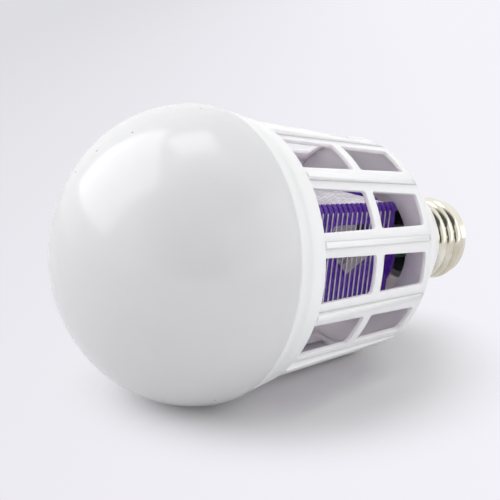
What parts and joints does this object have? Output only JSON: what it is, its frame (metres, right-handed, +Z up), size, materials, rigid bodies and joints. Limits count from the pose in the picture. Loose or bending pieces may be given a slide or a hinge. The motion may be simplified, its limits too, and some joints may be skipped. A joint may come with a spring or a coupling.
{
  "type": "insect killer light bulb",
  "caption": "Screw-cap lamp with a milky dome and a slotted cage round a wire-wound frame that draws in and kills flying insects.",
  "frame": {"origin": "centre of the bounding box's bottom face, on the table", "axes": "+X along the bulb towards its screw cap, as it lies; +Z up"},
  "size_m": [0.1456, 0.0818, 0.0814],
  "materials": {
    "opal_plastic": "glossy, milky",
    "white_plastic": "semi-gloss",
    "purple_plastic": "semi-gloss, slightly see-through",
    "grid_steel": "plain wire",
    "cap_metal": "nickel plated, pale gold",
    "contact_metal": "stamped",
    "dark_insulator": "glossy",
    "plate_aluminium": "white solder mask",
    "screw_steel": "zinc plated",
    "white_chip": "yellow phosphor",
    "uv_chip": "clear resin",
    "board_green": "satin",
    "capacitor_sleeve": "shrink sleeve",
    "ferrite": "matt",
    "film_red": "glossy",
    "black_resin": "matt",
    "resistor_body": "matt",
    "lead_insulation": "plain"
  },
  "bodies": {
    "root": {"diffuser_dome": "opal_plastic", "lamp_cup": "white_plastic", "cage": "white_plastic", "base_cone": "white_plastic", "led_plate": "plate_aluminium", "led_plate_screws": "screw_steel", "white_led_chips": "white_chip", "winding_frame": "purple_plastic", "grid_wire_a": "grid_steel", "grid_wire_b": "grid_steel", "uv_led_board": "plate_aluminium", "uv_led_chips": "uv_chip", "screw_shell": "cap_metal", "cap_insulator": "dark_insulator", "centre_contact": "contact_metal", "driver_board": "board_green", "electrolytic_capacitor": "capacitor_sleeve", "drum_inductor": "ferrite", "film_capacitor": "film_red", "bridge_rectifier": "black_resin", "high_voltage_diodes": "black_resin", "fuse_resistor": "resistor_body", "led_leads": "lead_insulation", "grid_leads": "lead_insulation", "uv_link_leads": "lead_insulation", "live_lead": "lead_insulation", "neutral_lead": "lead_insulation"}
  },
  "joints": []
}
